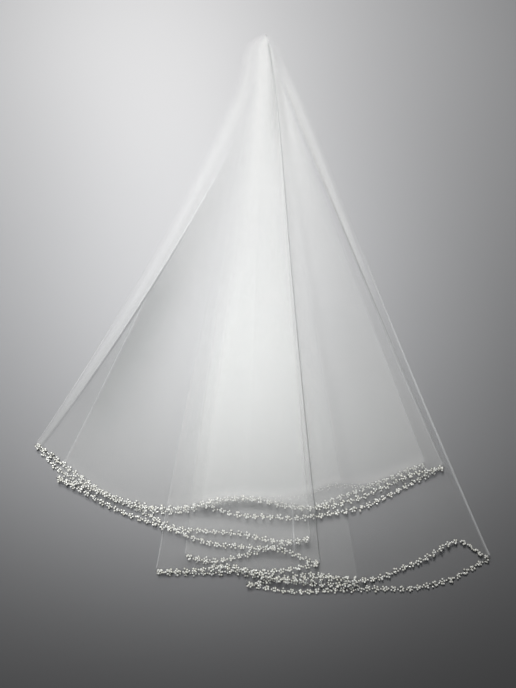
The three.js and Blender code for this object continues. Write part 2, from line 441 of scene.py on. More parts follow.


# Fold lines from left to right, then the creases inside a stretch
# Pale tables give a line denser cloth with a painted highlight, dark tables give it a painted shadow.
LEFT_1 = Fold(-24.6, 0.722, bow=0.018, crown=-0.010, pale=((0.60, 0.0), (0.85, 0.5)))
LEFT_2 = Fold(-21.1, 0.748, bow=0.007,
              pale=((0.55, 0.0), (0.70, 0.08), (0.95, 0.15)),
              reach=((0.0, 0.004),))
LEFT_3 = Fold(-9.6, 0.820, bow=-0.004, pale=((0.68, 0.0), (0.78, 0.15), (0.90, 0.1), (0.94, 0.8)))
LEFT_4 = Fold(-7.3, 0.798, bow=-0.008, pale=((0.955, 0.0), (0.97, 0.6)))
LEFT_5 = Fold(-6.4, 0.735)
LEFT_6 = Fold(-1.8, 0.824, bow=-0.001, pale=((0.955, 0.0), (0.97, 0.35)))
RIGHT_1 = Fold(3.9, 0.774, bow=0.001, crown=0.0068, pale=((0.93, 0.0), (0.96, 0.2)),
               dark=((0.01, 0.0), (0.04, 0.35), (0.50, 0.35), (0.62, 0.7), (0.93, 0.7), (1.0, 0.4)))
RIGHT_2 = Fold(4.55, 0.802, bow=-0.002, crown=0.0078,
               dark=((0.01, 0.0), (0.03, 0.9), (0.12, 0.9), (0.2, 0.85)),
               reach=((0.02, 0.0028), (0.08, 0.0028), (0.16, 0.0015)))
RIGHT_3 = Fold(7.7, 0.830, bow=-0.001)
RIGHT_4 = Fold(16.7, 0.711, bow=-0.002, pale=((0.50, 0.05), (0.85, 0.3)))
RIGHT_5 = Fold(18.4, 0.722, bow=-0.0045, pale=((0.50, 0.15), (0.85, 0.5)))
RIGHT_6 = Fold(19.0, 0.840, bow=-0.0035, crown=0.017, pale=((0.45, 0.0), (0.80, 0.9)))
LEFT_ROLL = Fold(-24.2, 0.722, bow=0.028, crown=0.016,
                 dark=((0.38, 0.0), (0.50, 0.6), (0.62, 1.0), (0.9, 0.8)),
                 reach=((0.0, 0.0018),))
RIGHT_ROLL = Fold(18.75, 0.840, bow=-0.005,
                  dark=((0.08, 0.0), (0.14, 0.25), (0.30, 0.35), (0.42, 0.8), (0.52, 1.0), (0.86, 0.5),
                        (0.9, 0.0)),
                  reach=((0.30, 0.0035), (0.45, 0.0018)))
SECOND_LINE = Fold(3.9, 0.802, bow=0.001, crown=0.0068,
                   dark=((0.45, 0.0), (0.60, 0.35), (0.88, 0.45), (0.94, 0.0)),
                   reach=((0.0, 0.0012),))
MIDDLE_LINE = Fold(2.45, 0.781, pale=((0.93, 0.0), (0.95, 0.9)))

# Stretches from the table upwards. The cloth runs through them in this order and round to the first.
STRETCHES = (
    Stretch("01", LEFT_6, RIGHT_6, (0.832, 0.834, 0.838, 0.847, 0.848), layers=0.30),
    Stretch("02", LEFT_6, RIGHT_3, (0.819, 0.814, 0.818), layers=0.5, hidden=1.6),
    Stretch("03", LEFT_4, RIGHT_3, (0.805, 0.813, 0.820, 0.826), layers=0.5, hidden=1.6),
    Stretch("04", LEFT_4, RIGHT_1, (0.799, 0.789, 0.779), layers=0.7, hidden=1.5),
    Stretch("05", LEFT_1, RIGHT_1, (0.738, 0.743, 0.748, 0.756, 0.767, 0.766, 0.766, 0.774),
            layers=0.54, hidden=1.4),
    Stretch("06", LEFT_1, RIGHT_4,
            (0.729, 0.739, 0.749, 0.752, 0.748, 0.733, 0.724, 0.728, 0.736, 0.728, 0.721, 0.714),
            crease=LEFT_ROLL, layers=0.54, hidden=1.4),
    Stretch("07", LEFT_5, RIGHT_4, (0.727, 0.724, 0.722, 0.713, 0.719, 0.715),
            layers=1.5, hidden=0.3, beads=0.5),
    Stretch("08", LEFT_5, RIGHT_5, (0.743, 0.745, 0.747, 0.746, 0.744, 0.736, 0.727),
            layers=1.5, hidden=0.3),
    Stretch("09", LEFT_2, RIGHT_5,
            (0.745, 0.748, 0.748, 0.741, 0.727, 0.724, 0.733, 0.737, 0.733, 0.725, 0.718),
            layers=0.66, hidden=1.4),
    Stretch("10", LEFT_2, RIGHT_2, (0.752, 0.760, 0.765, 0.771, 0.780, 0.781, 0.784),
            crease=MIDDLE_LINE, layers=0.56, hidden=1.4),
    Stretch("11", LEFT_3, RIGHT_2, (0.816, 0.809, 0.808), crease=SECOND_LINE, layers=0.7, hidden=1.5),
    Stretch("12", LEFT_3, RIGHT_6,
            (0.817, 0.813, 0.808, 0.804, 0.808, 0.813, 0.818, 0.818, 0.818, 0.821, 0.826, 0.828,
             0.824, 0.820, 0.816, 0.809, 0.812),
            crease=RIGHT_ROLL, layers=0.30),
)


@dataclass(frozen=True)
class Band:
    """A strip between an outer fold and an inner line where the cloth is turned in and shows thicker.

    Stages are the places of its stretches in the stack. Layers lists how much thicker it shows, as pairs of
    a distance from the peak and a number of layers. Soft_share is the share of its width over which it
    starts, and inner_fade the share of its thickness that it loses from there to the inner line.
    """

    stages: tuple
    outer: Fold
    inner: Fold
    layers: tuple
    soft_share: float = 0.6
    inner_fade: float = 0.0

    def thickness(self, angle: np.ndarray, radius: np.ndarray) -> np.ndarray:
        """The layers that the strip adds.

        Args:
            angle: angles in degrees.
            radius: distances from the peak.

        Returns:
            Numbers of layers.
        """
        outer = self.outer.angle_at(radius)
        way = (angle - outer) / (self.inner.angle_at(radius) - outer)
        start = smooth_step(way, 0, self.soft_share)
        fade = 1 - self.inner_fade * smooth_step(way, self.soft_share, 1)
        return np.where(way < 1, start * fade, 0) * np.interp(radius, *zip(*self.layers))


@dataclass(frozen=True)
class PaintedShade:
    """Painted shade beside a line: the cloth is coloured darker where it would lie in soft shade in a
    shallow dip.

    Stages are the places of its stretches in the stack. Span in degrees runs from the line to the right, or
    to the left under 0. Depth lists how dark it is, as pairs of a distance from the peak and a strength.
    """

    stages: tuple
    line: Fold
    span: float
    depth: tuple

    def painted_darkness(self, angle: np.ndarray, radius: np.ndarray) -> np.ndarray:
        """How strongly the painted shade darkens the cloth at angles in degrees and distances from the peak.
        """
        way = (angle - self.line.angle_at(radius)) / self.span
        return np.where(way >= 0, 1 - smooth_step(way, 0, 1), 0) * np.interp(radius, *zip(*self.depth))


BANDS = (
    Band((5,), LEFT_1, LEFT_ROLL, ((0.0, 0.4), (0.12, 1.15)), inner_fade=0.8),
    Band((0, 11), RIGHT_6, RIGHT_ROLL, ((0.04, 0.0), (0.12, 1.7), (0.38, 1.7), (0.50, 0.3), (0.6, 0.0))),
    Band((6, 7, 8), RIGHT_5, RIGHT_1, ((0.03, 0.0), (0.08, 0.8), (0.20, 0.5), (0.34, 0.0))),
)
# Painted shade to the right of the left roll's crease, and to the left of the first right fold near the
# peak.
PAINTED_SHADES = (
    PaintedShade((4, 5, 8, 9), LEFT_ROLL, 13.0,
          ((0.14, 0.0), (0.31, 0.5), (0.40, 0.7), (0.48, 0.95), (0.56, 0.95), (0.64, 0.75), (0.73, 0.1))),
    PaintedShade((3, 4, 9, 10), RIGHT_1, -10.0, ((0.02, 0.5), (0.14, 0.7), (0.28, 0.0))),
)


@dataclass(frozen=True)
class Ripple:
    """A soft ridge that lifts one stretch and all that lies on it.

    Stage is the stretch's place in the stack. Angle in degrees and radius in metres give the middle, turn
    the ridge's direction in degrees from the line to the peak. Length, width and height in metres.
    """

    stage: int
    angle: float
    radius: float
    turn: float
    length: float
    width: float
    height: float

    def lift(self, angle: np.ndarray, radius: np.ndarray) -> np.ndarray:
        """How high the ridge lifts the cloth.

        Args:
            angle: angles in degrees.
            radius: distances from the peak.

        Returns:
            Heights in metres.
        """
        aside = np.radians(angle - self.angle) * radius
        along = radius - self.radius
        cosine, sine = math.cos(math.radians(self.turn)), math.sin(math.radians(self.turn))
        lengthways = (along * cosine + aside * sine) / self.length
        crossways = (aside * cosine - along * sine) / self.width
        return self.height * np.exp(-(lengthways**2) - crossways**2)


RIPPLES = (
    Ripple(stage=11, angle=9.4, radius=0.785, turn=35.0, length=0.030, width=0.012, height=0.004),
    Ripple(stage=11, angle=15.6, radius=0.775, turn=-10.0, length=0.045, width=0.022, height=0.006),
    Ripple(stage=11, angle=13.0, radius=0.560, turn=4.0, length=0.160, width=0.020, height=0.002),
    Ripple(stage=9, angle=-15.5, radius=0.560, turn=-5.0, length=0.180, width=0.022, height=0.0025),
    Ripple(stage=9, angle=-12.5, radius=0.330, turn=2.0, length=0.120, width=0.015, height=0.002),
    Ripple(stage=4, angle=-4.5, radius=0.450, turn=0.0, length=0.220, width=0.014, height=0.002),
    Ripple(stage=5, angle=11.5, radius=0.400, turn=0.0, length=0.200, width=0.018, height=0.002),
)


@dataclass
class Drape:
    """How high each stretch lies: every layer settles on the layers and the edging below it."""

    layer_rise: float = 0.0014
    layer_fall: float = 0.014
    bead_half: float = 0.0040
    bead_rise: float = 0.0030
    bead_fall: float = 0.007
    margin: float = 0.0008
    peak_reach: float = 0.090
    peak_share: float = 0.12
    roll_steepness: float = 0.14
    roll_reach: float = 0.300
    roll_stage: int = 5
    angles: np.ndarray = field(default_factory=lambda: np.arange(-28.0, 23.01, 0.2))
    radii: np.ndarray = field(default_factory=lambda: np.arange(0.0, 0.881, 0.004))
    bases: list = field(default_factory=list)

    def settle(self, distance: np.ndarray, fall: float) -> np.ndarray:
        """The share of a layer's rise at distances outside it: 1 on it, then smoothly down to 0."""
        return 1 - smooth_step(distance - self.margin, 0, fall)

    def rise(self, stretch: Stretch, angle: np.ndarray, radius: np.ndarray) -> np.ndarray:
        """What one stretch adds to the height of all that lies on it.

        Args:
            stretch: the stretch.
            angle: angles in degrees.
            radius: distances from the peak.

        Returns:
            The rise in metres.
        """
        left = stretch.left.angle_at(radius) - angle
        right = angle - stretch.right.angle_at(radius)
        aside = np.radians(np.maximum(np.maximum(left, right), 0)) * radius
        past = radius - stretch.edge_at(stretch.share_at(angle, radius))
        beyond = np.maximum(past - self.bead_half, 0)
        from_beads = np.maximum(np.abs(past) - self.bead_half, 0)
        cloth = self.layer_rise * self.settle(np.hypot(aside, beyond), self.layer_fall)
        beads = self.bead_rise * self.settle(np.hypot(aside, from_beads), self.bead_fall)
        return np.maximum(cloth, beads)

    def roll(self, angle: np.ndarray, radius: np.ndarray) -> np.ndarray:
        """The soft unpressed roll along the left outer fold, as wide as the crease beside it leaves.

        Args:
            angle: angles in degrees.
            radius: distances from the peak.

        Returns:
            Heights in metres.
        """
        start = LEFT_1.angle_at(radius)
        span = LEFT_ROLL.angle_at(radius) - start
        way = np.clip((angle - start) / span, 0, 1)
        grown = np.clip(radius / self.roll_reach, 0, 1) ** 2
        height = self.roll_steepness * np.radians(span) * radius * grown
        return height * np.sin(np.pi * way) ** 2

    def stack(self) -> None:
        """Lays the stretches on each other from the table upwards and keeps the height under each."""
        angle, radius = np.meshgrid(self.angles, self.radii, indexing="ij")
        height = np.zeros_like(angle)
        for stage, stretch in enumerate(STRETCHES):
            if stage == self.roll_stage:
                height = height + self.roll(angle, radius)
            for ripple in RIPPLES:
                if ripple.stage == stage:
                    height = height + ripple.lift(angle, radius)
            self.bases.append(height)
            height = height + self.rise(stretch, angle, radius)

    def under(self, stage: int, angle: np.ndarray, radius: np.ndarray) -> np.ndarray:
        """The height of what a stretch lies on.

        Args:
            stage: the stretch's place in the stack.
            angle: angles in degrees.
            radius: distances from the peak.

        Returns:
            Heights in metres.
        """
        inside = np.clip(angle, self.angles[0], self.angles[-1])
        across = (inside - self.angles[0]) / (self.angles[1] - self.angles[0])
        down = radius / (self.radii[1] - self.radii[0])
        line = np.clip(across.astype(int), 0, len(self.angles) - 2)
        ring = np.clip(down.astype(int), 0, len(self.radii) - 2)
        across, down = across - line, down - ring
        base = self.bases[stage]
        near = base[line, ring] * (1 - down) + base[line, ring + 1] * down
        far = base[line + 1, ring] * (1 - down) + base[line + 1, ring + 1] * down
        gather = np.clip(radius / self.peak_reach, 0, 1)
        taper = self.peak_share + (1 - self.peak_share) * gather * (2 - gather)
        return (near * (1 - across) + far * across) * taper


# Meshes


def new_piece(name: str, points: np.ndarray, faces: list, material: bpy.types.Material) -> bpy.types.Object:
    """Makes a smooth mesh object at the origin.

    Args:
        name: the piece's name.
        points: its vertices in metres.
        faces: its faces.
        material: its material.

    Returns:
        The new object.
    """
    mesh = bpy.data.meshes.new(name)
    mesh.from_pydata(points.tolist(), [], faces)
    mesh.shade_smooth()
    mesh.materials.append(material)
    piece = bpy.data.objects.new(name, mesh)
    bpy.context.scene.collection.objects.link(piece)
    return piece


def store(piece: bpy.types.Object, name: str, values: np.ndarray) -> None:
    """Keeps a number for each vertex of a piece, under a name that its material reads."""
    attribute = piece.data.attributes.new(name, "FLOAT", "POINT")
    attribute.data.foreach_set("value", np.asarray(values, np.float32))


@dataclass
class Veil:
    """The one piece of tulle, run through all its folds and closed at the peak."""

    drape: Drape
    peak: Vector
    finish: TulleFinish = TulleFinish()
    step_angle: float = 0.45
    least_steps: int = 4
    share_digits: int = 9
    rings: int = 100
    hem_rings: int = 44
    hem_share: float = 0.20
    bend_steps: int = 3
    bend_reach: float = 0.0006
    wrap_reach: float = 0.0020
    bend_grown: float = 0.200
    line_reaches: tuple = (0.0009, 0.0022)
    half_way: float = 0.450
    fold_end: float = 0.6
    cloth_lift: float = 0.0004
    tip_reach: float = 0.0015
    tip_move: tuple = (0.0020, 0.0032)
    tip_fade: float = 0.030
    left_tip_spread: float = 1.7
    right_tip_spread: float = 0.25
    tip_round: float = 0.055
    hem_inset: float = 0.0030
    upper_layers: float = 0.60
    hem_layers: float = 1.25
    hem_rise: tuple = (0.49, 0.70)
    most_layers: float = 2.0
    hidden_end: tuple = (-0.016, 0.018)
    hidden_left: tuple = (-10.5, -3.5)
    hidden_right: tuple = (2.5, 7.0)
    hidden_upper: float = 0.10
    hidden_rise: tuple = (0.34, 0.68)
    soft_edge: float = 0.85
    soft_from: float = 0.350
    soft_to: float = 0.620
    soft_reach: float = 0.035
    soft_slope: float = 0.06
    front_stage: int = 8
    flat_side: float = 1.56
    area_samples: int = 60

    def place(self, angle: np.ndarray, radius: np.ndarray, height: np.ndarray) -> np.ndarray:
        """Points in the part's frame.

        Args:
            angle: degrees about the peak.
            radius: distances from the peak.
            height: heights above the table.

        Returns:
            An array of points.
        """
        spread = np.where(angle < 0, self.left_tip_spread, self.right_tip_spread)
        turn = np.radians(angle * (1 + spread * np.exp(-((radius / self.tip_round) ** 2))))
        near = np.exp(-((radius / self.tip_fade) ** 2))
        x = self.peak.x + radius * np.sin(turn) + self.tip_move[0] * near
        y = self.peak.y - radius * np.cos(turn) + self.tip_move[1] * near
        return np.stack((x, y, height), axis=-1)

    def shares(self, stretch: Stretch) -> np.ndarray:
        """Where the columns of a stretch run, some of them close beside its lines.

        Args:
            stretch: the stretch.

        Returns:
            Shares of the way across, from left to right.
        """
        shares = []
        lines = stretch.lines()
        for (start, left), (end, right) in zip(lines, lines[1:]):
            span = float(right.angle_at(self.half_way) - left.angle_at(self.half_way))
            beside = np.array(self.line_reaches) / (math.radians(span) * self.half_way)
            even = np.linspace(0, 1, max(self.least_steps, math.ceil(span / self.step_angle)) + 1)
            ways = np.sort(np.concatenate((even, beside, 1 - beside)))
            shares.append(start + (end - start) * ways)
        return np.unique(np.concatenate(shares).round(self.share_digits))

    def flat_columns(self, stage: int) -> tuple[np.ndarray, np.ndarray, np.ndarray, np.ndarray]:
        """The columns of one stretch in the order that the cloth runs.

        Args:
            stage: the stretch's place in the stack.

        Returns:
            Angles, radii, heights and shares, a row for each column.
        """
        stretch = STRETCHES[stage]
        shares = self.shares(stretch)
        if stage % 2 == 0:
            shares = shares[::-1]
        hem = stretch.edge_at(shares) - self.hem_inset
        upper = np.linspace(0, 1 - self.hem_share, self.rings - self.hem_rings + 1)[1:]
        way = np.concatenate((upper, np.linspace(1 - self.hem_share, 1, self.hem_rings + 1)[1:]))
        radius = self.tip_reach + (hem[:, None] - self.tip_reach) * way[None, :]
        angle = stretch.angle_at(shares[:, None], radius)
        height = self.drape.under(stage, angle, radius) + self.cloth_lift
        return angle, radius, height, shares

    def softness(self, radius: np.ndarray) -> np.ndarray:
        """How far the layers thin out towards their folds, at distances from the peak."""
        return self.soft_edge * (1 - smooth_step(radius, self.soft_from, self.soft_to))

    def looks(self, stage: int, radius: np.ndarray, shares: np.ndarray) -> tuple[np.ndarray, ...]:
        """How one stretch looks.

        Args:
            stage: the stretch's place in the stack.
            radius: distances of its vertices from the peak.
            shares: its columns' shares of the way across.

        Returns:
            How strongly it is a pale line of denser cloth with a painted highlight, how strongly a dark line
            of painted shadow, how many layers it shows as and how much painted shade it has.
        """
        stretch = STRETCHES[stage]
        pale, dark = np.zeros_like(radius), np.zeros_like(radius)
        angle = stretch.angle_at(shares[:, None], radius)
        # Along each line, pale is denser cloth with a painted highlight and dark is a painted shadow.
        for _, line in stretch.lines():
            line_density_and_highlight, line_painted_shadow, reach = line.shows_at(radius)
            aside = np.abs(np.radians(angle - line.angle_at(radius))) * radius
            strength = np.clip(1 - aside / reach, 0, 1) * (1.0 if line is stretch.crease else self.fold_end)
            pale, dark = pale + strength * line_density_and_highlight, dark + strength * line_painted_shadow
        layers = self.own_layers(stretch, angle, radius) + self.hidden_layers(stretch, angle, radius)
        layers = layers + sum(band.thickness(angle, radius) for band in BANDS if stage in band.stages)
        # Painted shade from the shade table.
        painted_spots = [painted_spot.painted_darkness(angle, radius) for painted_spot in PAINTED_SHADES if stage in painted_spot.stages]
        shade = np.zeros_like(radius) + sum(painted_spots)
        return pale, dark, np.minimum(layers, self.most_layers), shade

    def own_layers(self, stretch: Stretch, angle: np.ndarray, radius: np.ndarray) -> np.ndarray:
        """How thick a stretch itself shows: thinner near the peak, and there softly towards its folds.

        Args:
            stretch: the stretch.
            angle: angles in degrees.
            radius: distances from the peak.

        Returns:
            Numbers of layers.
        """
        inside = np.minimum(angle - stretch.left.angle_at(radius), stretch.right.angle_at(radius) - angle)
        inside = np.radians(np.maximum(inside, 0)) * radius
        reach = np.minimum(self.soft_reach, self.soft_slope * radius)
        hem = self.upper_layers + (self.hem_layers - self.upper_layers) * smooth_step(radius, *self.hem_rise)
        return stretch.layers * hem * (1 - self.softness(radius) * (1 - smooth_step(inside / reach, 0, 1)))

    def hidden_layers(self, stretch: Stretch, angle: np.ndarray, radius: np.ndarray) -> np.ndarray:
        """How thick the short layers hidden in the middle show, down to the front row of the edging.

        Args:
            stretch: the stretch.
            angle: angles in degrees.
            radius: distances from the peak.

        Returns:
            Numbers of layers.
        """
        front = STRETCHES[self.front_stage]
        past = radius - front.edge_at(front.share_at(angle, radius))
        upper = self.hidden_upper + (1 - self.hidden_upper) * smooth_step(radius, *self.hidden_rise)
        middle = smooth_step(angle, *self.hidden_left) * (1 - smooth_step(angle, *self.hidden_right))
        return stretch.hidden * (1 - smooth_step(past, *self.hidden_end)) * upper * middle

    def bend_columns(self, start: tuple, end: tuple, side: Side, reach: float) -> tuple[np.ndarray, ...]:
        """The rounded turn of a fold between the last column of one stretch and the first of the next.

        Args:
            start: angle, radius and height of the column that the turn leaves.
            end: the same of the column that it meets.
            side: the side of the fan that the fold faces.
            reach: how far the turn stands out.

        Returns:
            Angles, radii and heights, a row for each column.
        """
        angles, radii, heights = [], [], []
        for step in range(1, self.bend_steps + 1):
            way = step / (self.bend_steps + 1)
            swing = 0.5 - 0.5 * math.cos(math.pi * way)
            out = reach * math.sin(math.pi * way) * np.clip(start[1] / self.bend_grown, 0, 1)
            angles.append(start[0] + (end[0] - start[0]) * way + side.value * np.degrees(out / start[1]))
            radii.append(start[1] + (end[1] - start[1]) * way)
            heights.append(start[2] + (end[2] - start[2]) * swing)
        return np.array(angles), np.array(radii), np.array(heights)

    def run(self) -> tuple[list, list]:
        """Runs the cloth through all its folds.

        Returns:
            Angles, radii and heights of all columns, and for each vertex its pale line of denser cloth with
            a painted highlight, its dark line of painted shadow, its thickness and its painted shade.
        """
        parts, looks = [], []
        flats = [self.flat_columns(stage) for stage in range(len(STRETCHES))]
        for stage, flat in enumerate(flats):
            following = flats[(stage + 1) % len(flats)]
            side = Side.LEFT if stage % 2 == 0 else Side.RIGHT
            stretch = STRETCHES[stage]
            fold = stretch.left if side is Side.LEFT else stretch.right
            wraps = stage == len(flats) - 1
            last = tuple(values[-1] for values in flat[:3])
            first = tuple(values[0] for values in following[:3])
            bend = self.bend_columns(last, first, side, self.wrap_reach if wraps else self.bend_reach)
            parts += [flat[:3], bend]
            # A fold's turn carries that fold's painted highlight and painted shadow.
            pale, dark, _ = fold.shows_at(bend[1])
            plain = (pale, dark, 1 - self.softness(bend[1]), np.zeros_like(pale))
            looks += [self.looks(stage, flat[1], flat[3]), plain]
        grids = [np.concatenate(grid) for grid in zip(*parts)]
        return grids, [np.concatenate(look) for look in zip(*looks)]

    def faces(self, columns: int) -> list:
        """Faces of the closed run of columns, with the tip as the last vertex.

        Args:
            columns: the number of columns.

        Returns:
            Quads between neighbouring columns and triangles to the tip.
        """
        faces = []
        tip = columns * self.rings
        for column in range(columns):
            here = column * self.rings
            there = (column + 1) % columns * self.rings
            faces.append((tip, here, there))
            for ring in range(self.rings - 1):
                faces.append((here + ring, here + ring + 1, there + ring + 1, there + ring))
        return faces

    def lay_out_cut(self, piece: bpy.types.Object, angle: np.ndarray, radius: np.ndarray) -> None:
        """Maps the cloth as it was cut, flat and in metres, so that the net runs evenly over it.

        Args:
            piece: the cloth.
            angle: angles of its columns.
            radius: their distances from the peak.
        """
        columns = len(angle)
        middle = self.rings // 2
        steps = np.abs(np.diff(np.append(angle[:, middle], angle[0, middle])))
        turns = np.radians(np.concatenate(([0], np.cumsum(steps))))
        loops = np.zeros(len(piece.data.loops), np.int32)
        piece.data.loops.foreach_get("vertex_index", loops)
        corners = 3 + 4 * (self.rings - 1)
        sides = np.repeat(np.arange(columns), corners)
        tip = columns * self.rings
        column = np.where(loops == tip, sides, loops // self.rings)
        closing = (sides == columns - 1) & (column == 0)
        turn = np.where(closing, turns[columns], turns[np.minimum(column, columns - 1)])
        reach = np.append(radius.ravel(), 0.0)[loops]
        uv = np.stack((reach * np.sin(turn), reach * np.cos(turn)), axis=-1)
        layer = piece.data.uv_layers.new(name="cut")
        layer.data.foreach_set("uv", uv.astype(np.float32).ravel())

    def build(self) -> bpy.types.Object:
        """Builds and dresses the cloth.

        Returns:
            The cloth, riding on the part's body.
        """
        (angle, radius, height), looks = self.run()
        columns = len(angle)
        points = self.place(angle, radius, height).reshape(-1, 3)
        tip = (self.peak.x + self.tip_move[0], self.peak.y + self.tip_move[1], float(height[:, 0].mean()))
        points = np.vstack((points, tip))
        piece = new_piece("veil_tulle", points, self.faces(columns), self.finish.material())
        # Pale is denser cloth with a painted highlight, dark a painted shadow, shade a painted shade.
        for name, values in zip(("pale", "dark", "layers", "shade"), looks):
            store(piece, name, np.append(values.ravel(), values[:, 0].mean()))
        self.lay_out_cut(piece, angle, radius)
        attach(piece, BODY)
        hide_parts("peak", *(f"tulle_{stretch.name}" for stretch in STRETCHES))
        return piece

    def cut_area(self) -> float:
        """Works out how much cloth the stretches take.

        Returns:
            Their flat area in square metres.
        """
        area = 0.0
        shares = np.linspace(0, 1, self.area_samples)
        for stretch in STRETCHES:
            hem = stretch.edge_at(shares) - self.hem_inset
            area += math.radians(stretch.right.angle - stretch.left.angle) * float((hem**2).mean()) / 2
        return area


@dataclass
class PearlEdging:
    """The chain of pearl florets along the cut edge, one piece for each stretch."""

    drape: Drape
    veil: Veil
    finish: PearlFinish = PearlFinish()
    pitch: float = 0.0104
    pearl: float = 0.0028
    pearl_segments: int = 8
    pearl_rings: int = 6
    pole_height: float = 0.49
    petals: int = 5
    petal_ring: float = 0.0024
    centre_pearl: float = 0.0026
    link_pearl: float = 0.0025
    hole_depth: float = 0.25
    # Heights on a unit bead over which the painted shade fades out.
    underside_shade_rise: tuple = (-0.10, 0.36)
    size_range: tuple = (0.90, 1.08)
    jitter: float = 0.0006
    lift: float = 0.0008
    thread: float = 0.0003
    thread_step: float = 0.004
    thread_sides: int = 4
    chain_samples: int = 400

    def model_pearl(self) -> tuple[np.ndarray, list]:
        """Models one pearl of unit diameter, dimpled at both ends of its thread hole.

        Returns:
            Its vertices and faces.
        """
        bpy.ops.object.select_all(action="DESELECT")
        bpy.ops.mesh.primitive_uv_sphere_add(
            segments=self.pearl_segments, ring_count=self.pearl_rings, radius=0.5,
        )
        ball = bpy.context.object
        bpy.ops.object.mode_set(mode="EDIT")
        bpy.ops.mesh.select_all(action="DESELECT")
        bpy.ops.object.mode_set(mode="OBJECT")
        for vertex in ball.data.vertices:
            vertex.select = abs(vertex.co.z) > self.pole_height
        bpy.ops.object.mode_set(mode="EDIT")
        bpy.ops.transform.resize(value=(1, 1, 1 - self.hole_depth))
        bpy.ops.object.mode_set(mode="OBJECT")
        points = np.array([vertex.co for vertex in ball.data.vertices])
        faces = [tuple(face.vertices) for face in ball.data.polygons]
        bpy.data.objects.remove(ball)
        return points, faces

    def floret(self) -> list[tuple[float, float, float]]:
        """The beads of one floret and of the link to the next.

        Returns:
            Along and out from the chain's line, and diameter, a row for each bead.
        """
        beads = [(0.0, 0.0, self.centre_pearl)]
        for petal in range(self.petals):
            turn = 2 * math.pi * petal / self.petals
            beads.append((self.petal_ring * math.cos(turn), self.petal_ring * math.sin(turn), self.pearl))
        beads.append((self.pitch / 2, 0.0, self.link_pearl))
        return beads

    def chain(self, stretch: Stretch) -> tuple[np.ndarray, np.ndarray, np.ndarray]:
        """The line of the edging along a stretch.

        Args:
            stretch: the stretch.

        Returns:
            Distances along the line, and the angles and radii there.
        """
        shares = np.linspace(0, 1, self.chain_samples)
        radius = stretch.edge_at(shares)
        angle = stretch.angle_at(shares, radius)
        turn = np.radians(angle)
        steps = np.hypot(np.diff(radius * np.sin(turn)), np.diff(radius * np.cos(turn)))
        return np.concatenate(([0], np.cumsum(steps))), angle, radius

    def bead_places(self, stage: int, chance: np.random.Generator) -> np.ndarray:
        """Where the beads of one stretch lie.

        Args:
            stage: the stretch's place in the stack.
            chance: the source of small unevenness.

        Returns:
            Angle, radius, height and diameter, a row for each bead.
        """
        stretch = STRETCHES[stage]
        along, angle, radius = self.chain(stretch)
        count = round(along[-1] / self.pitch)
        pitch = along[-1] / count
        rows = []
        for number in range(count):
            middle = (number + 0.5) * pitch
            spin = chance.uniform(0, 2 * math.pi)
            for place, (run, out, size) in enumerate(self.floret()):
                is_link = place == self.petals + 1
                if is_link and number == count - 1:
                    continue
                turned = (run, out) if is_link else (
                    run * math.cos(spin) - out * math.sin(spin),
                    run * math.sin(spin) + out * math.cos(spin),
                )
                shift = chance.normal(0, self.jitter, 2)
                spot = float(np.clip(middle + turned[0] + shift[0], 0, along[-1]))
                reach = float(np.interp(spot, along, radius)) + turned[1] + shift[1]
                bead = size * stretch.beads * chance.uniform(*self.size_range)
                bearing = float(np.interp(spot, along, angle))
                rows.append((bearing, reach, bead, chance.uniform(0, self.lift)))
        angles, radii, sizes, lifts = np.array(rows).T
        heights = self.drape.under(stage, angles, radii) + sizes / 2 + lifts
        return np.stack((angles, radii, heights, sizes), axis=-1)

    def pearls(self, stage: int, pearl: tuple[np.ndarray, list], chance: np.random.Generator) -> tuple:
        """All beads of one stretch as one mesh.

        Args:
            stage: the stretch's place in the stack.
            pearl: vertices and faces of the one pearl that is copied.
            chance: the source of small unevenness.

        Returns:
            Vertices, faces, the tone of each vertex's bead, and each vertex's painted shade, more the lower
            it lies on its bead.
        """
        shape, faces = pearl
        places = self.bead_places(stage, chance)
        centres = self.veil.place(places[:, 0], places[:, 1], places[:, 2])
        tilts = chance.uniform(0, math.pi, (len(places), 2))
        points, all_faces, underside_shades = [], [], []
        for number, (centre, size, tilt) in enumerate(zip(centres, places[:, 3], tilts)):
            cosines, sines = np.cos(tilt), np.sin(tilt)
            lean = np.array(((1, 0, 0), (0, cosines[0], -sines[0]), (0, sines[0], cosines[0])))
            swing = np.array(((cosines[1], -sines[1], 0), (sines[1], cosines[1], 0), (0, 0, 1)))
            turned = shape @ (swing @ lean).T
            points.append(turned * size + centre)
            # Painted shade, darker the lower a vertex lies on its bead.
            underside_shades.append(1 - smooth_step(turned[:, 2], *self.underside_shade_rise))
            first = number * len(shape)
            all_faces += [tuple(first + corner for corner in face) for face in faces]
        tones = np.repeat(chance.uniform(0, 1, len(places)), len(shape))
        return np.concatenate(points), all_faces, tones, np.concatenate(underside_shades)

    def thread_run(self, stage: int) -> tuple[np.ndarray, list]:
        """The thread that the beads of one stretch are strung on.

        Args:
            stage: the stretch's place in the stack.

        Returns:
            Vertices and faces of a thin tube.
        """
        stretch = STRETCHES[stage]
        along, angle, radius = self.chain(stretch)
        spots = np.linspace(0, along[-1], round(along[-1] / self.thread_step))
        angles, radii = np.interp(spots, along, angle), np.interp(spots, along, radius)
        height = self.drape.under(stage, angles, radii) + self.link_pearl * stretch.beads / 2
        points, faces = [], []
        for side in range(self.thread_sides):
            turn = 2 * math.pi * side / self.thread_sides
            thread = self.thread * stretch.beads
            reach, lift = thread * math.cos(turn), thread * math.sin(turn)
            points.append(self.veil.place(angles, radii + reach, height + lift))
        count = len(spots)
        for side in range(self.thread_sides):
            here, there = side * count, (side + 1) % self.thread_sides * count
            for spot in range(count - 1):
                faces.append((here + spot, there + spot, there + spot + 1, here + spot + 1))
        ends = [side * count for side in range(self.thread_sides)]
        faces.append(tuple(reversed(ends)))
        faces.append(tuple(end + count - 1 for end in ends))
        return np.concatenate(points), faces

